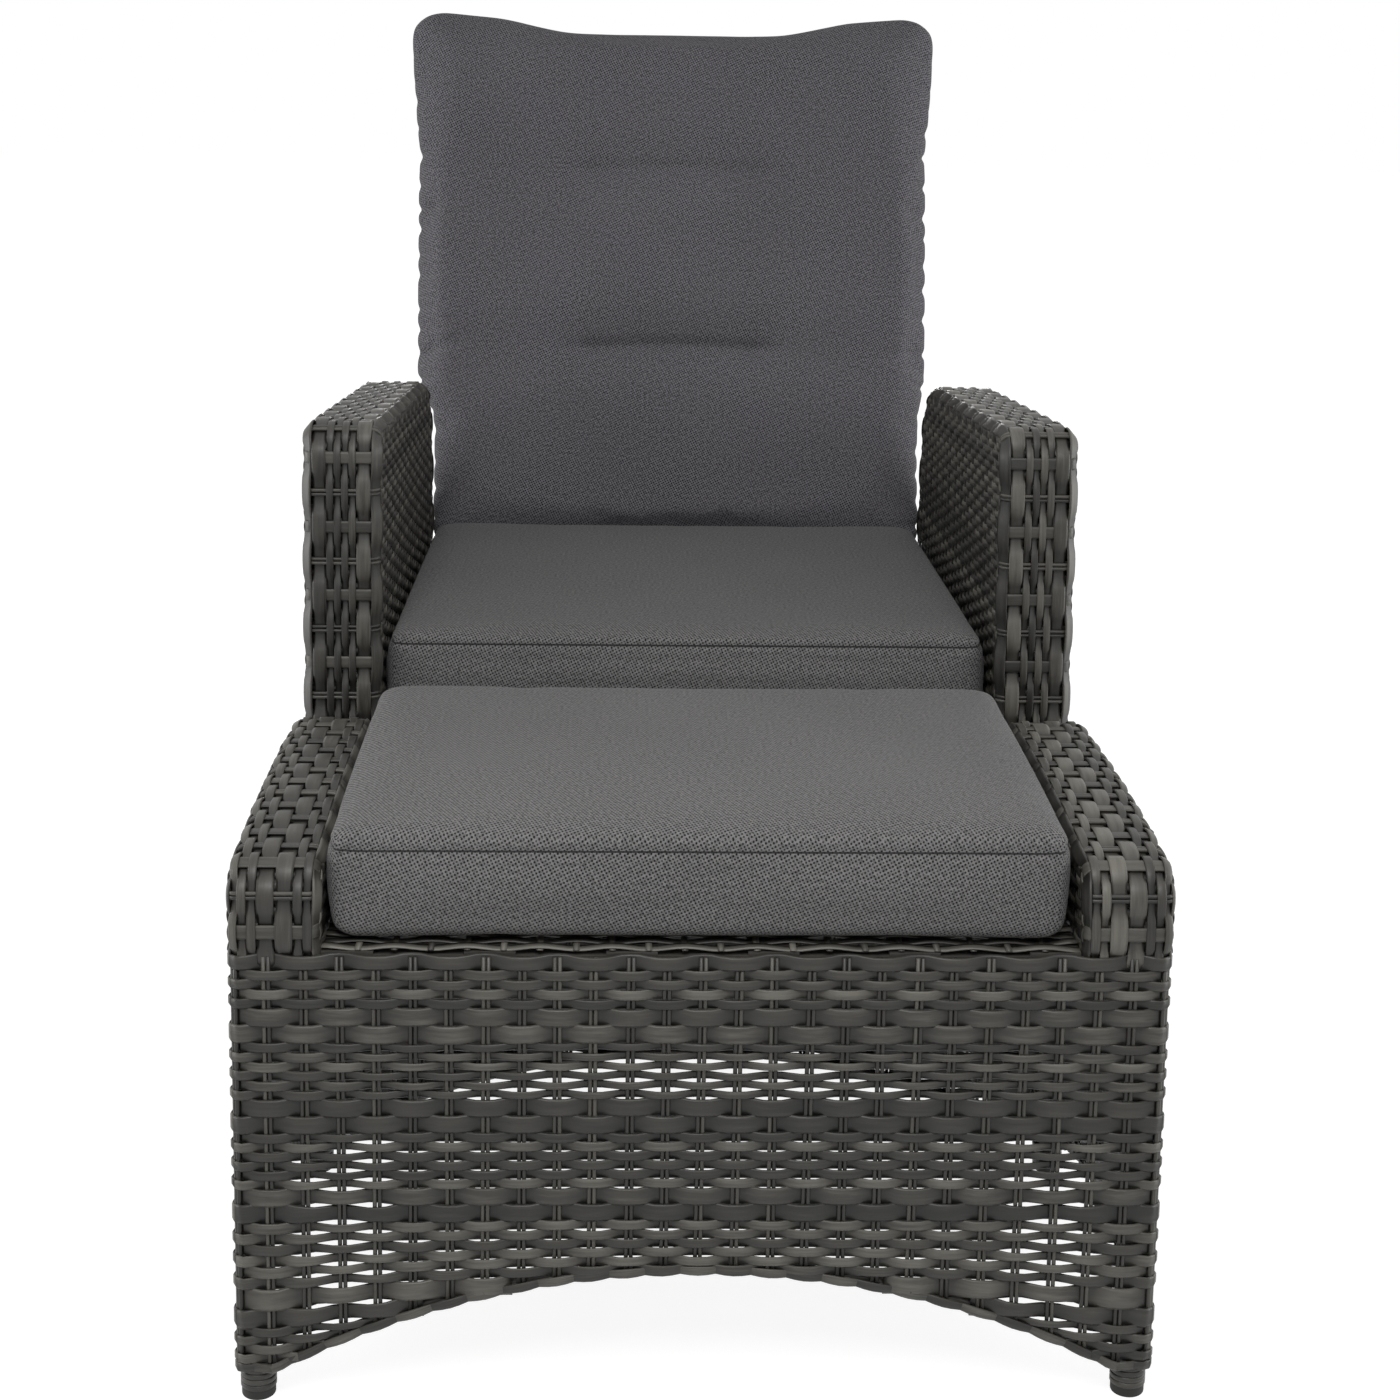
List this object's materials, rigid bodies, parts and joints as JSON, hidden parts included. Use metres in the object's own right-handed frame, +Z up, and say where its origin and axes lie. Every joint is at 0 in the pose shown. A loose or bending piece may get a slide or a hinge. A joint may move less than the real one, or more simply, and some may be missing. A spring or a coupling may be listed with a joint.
{
  "type": "reclining garden armchair",
  "caption": "Woven garden armchair whose back reclines on a lockable gas spring under the seat, with release lever, loose cushions and a matching footstool in front.",
  "frame": {"origin": "on the floor under the middle of the chair and its stool together", "axes": "+X to the sitter's left, +Y from the stool to the chair's back, +Z up"},
  "size_m": [0.7257, 1.3156, 1.0262],
  "materials": {
    "weave": "flat and round woven strands, dark brown-grey, slight sheen",
    "cushion_fabric": "coarse charcoal woven cloth",
    "frame_paint": "dark powder coat",
    "glide_plastic": "moulded, matt black",
    "hinge_steel": "zinc plated",
    "piston_chrome": "polished",
    "spring_paint": "satin black",
    "lever_paint": "dark powder coat",
    "grommet_rubber": "matt"
  },
  "bodies": {
    "chair": {"arm_tube_left": "frame_paint", "arm_tube_right": "frame_paint", "arm_side_rail_left": "frame_paint", "arm_side_rail_right": "frame_paint", "seat_frame": "frame_paint", "seat_slats": "frame_paint", "seat_deck_weave": "weave", "arm_weave_left": "weave", "arm_weave_right": "weave", "front_apron_weave": "weave", "rear_apron_weave": "weave", "apron_rods": "frame_paint", "chair_glide_front_left": "glide_plastic", "chair_glide_front_right": "glide_plastic", "chair_glide_rear_left": "glide_plastic", "chair_glide_rear_right": "glide_plastic", "seat_cushion": "cushion_fabric", "hinge_bracket_left": "hinge_steel", "hinge_bracket_right": "hinge_steel", "hinge_bolt_left": "hinge_steel", "hinge_bolt_right": "hinge_steel", "spring_bracket": "frame_paint", "lever_grommet": "grommet_rubber"},
    "back": {"hinge_plate_left": "hinge_steel", "hinge_plate_right": "hinge_steel", "hinge_bush_left": "hinge_steel", "hinge_bush_right": "hinge_steel", "back_tube": "frame_paint", "back_lower_bar": "frame_paint", "back_slats": "frame_paint", "back_weave": "weave", "back_cushion": "cushion_fabric", "crank_lugs": "frame_paint", "crank_pin": "hinge_steel"},
    "gas_rod": {"release_head": "spring_paint", "piston_rod": "piston_chrome"},
    "gas_cylinder": {"spring_cylinder": "spring_paint", "spring_eye": "spring_paint"},
    "valve_pin": {"release_pin": "piston_chrome"},
    "lever": {"release_lever": "lever_paint"},
    "stool": {"stool_side_tube_left": "frame_paint", "stool_side_tube_right": "frame_paint", "stool_side_rail_left": "frame_paint", "stool_side_rail_right": "frame_paint", "stool_cross_rails": "frame_paint", "stool_arch_rods": "frame_paint", "stool_slats": "frame_paint", "stool_deck_weave": "weave", "stool_side_weave_left": "weave", "stool_side_weave_right": "weave", "stool_front_weave": "weave", "stool_rear_weave": "weave", "stool_glide_front_left": "glide_plastic", "stool_glide_front_right": "glide_plastic", "stool_glide_rear_left": "glide_plastic", "stool_glide_rear_right": "glide_plastic", "stool_cushion": "cushion_fabric"}
  },
  "joints": [
    {"name": "back_recline", "type": "hinge", "parent": "chair", "child": "back", "pos_m": [0, 0.43023, 0.392], "axis": [-1, 0, 0], "range_deg": [0, 30]},
    {"name": "spring_tilt", "type": "hinge", "parent": "chair", "child": "gas_rod", "pos_m": [0.18002, 0.10224, 0.34], "axis": [1, 0, 0], "range_deg": [0, 3]},
    {"name": "spring_stroke", "type": "slide", "parent": "gas_rod", "child": "gas_cylinder", "axis": [0, -0.9999, 0.0172], "range_m": [0, 0.0275]},
    {"name": "lever_pull", "type": "hinge", "parent": "chair", "child": "lever", "pos_m": [0.18002, 0.08024, 0.326], "axis": [-1, 0, 0], "range_deg": [0, 10], "stiffness_Nm_per_rad": 0.6, "springref_deg": -14.32},
    {"name": "valve_press", "type": "slide", "parent": "gas_rod", "child": "valve_pin", "axis": [0, 0.9999, -0.0172], "range_m": [0, 0.002]},
    {"name": "stool_shift", "type": "slide", "parent": "chair", "child": "stool", "axis": [0, -1, 0], "range_m": [0, 0.4]}
  ],
  "couplings": [
    {"joint": "spring_tilt", "follows": "back_recline", "ratio": 0.098},
    {"joint": "spring_stroke", "follows": "back_recline", "m_per_rad": 0.05125},
    {"joint": "valve_press", "follows": "lever_pull", "m_per_rad": 0.01124}
  ]
}
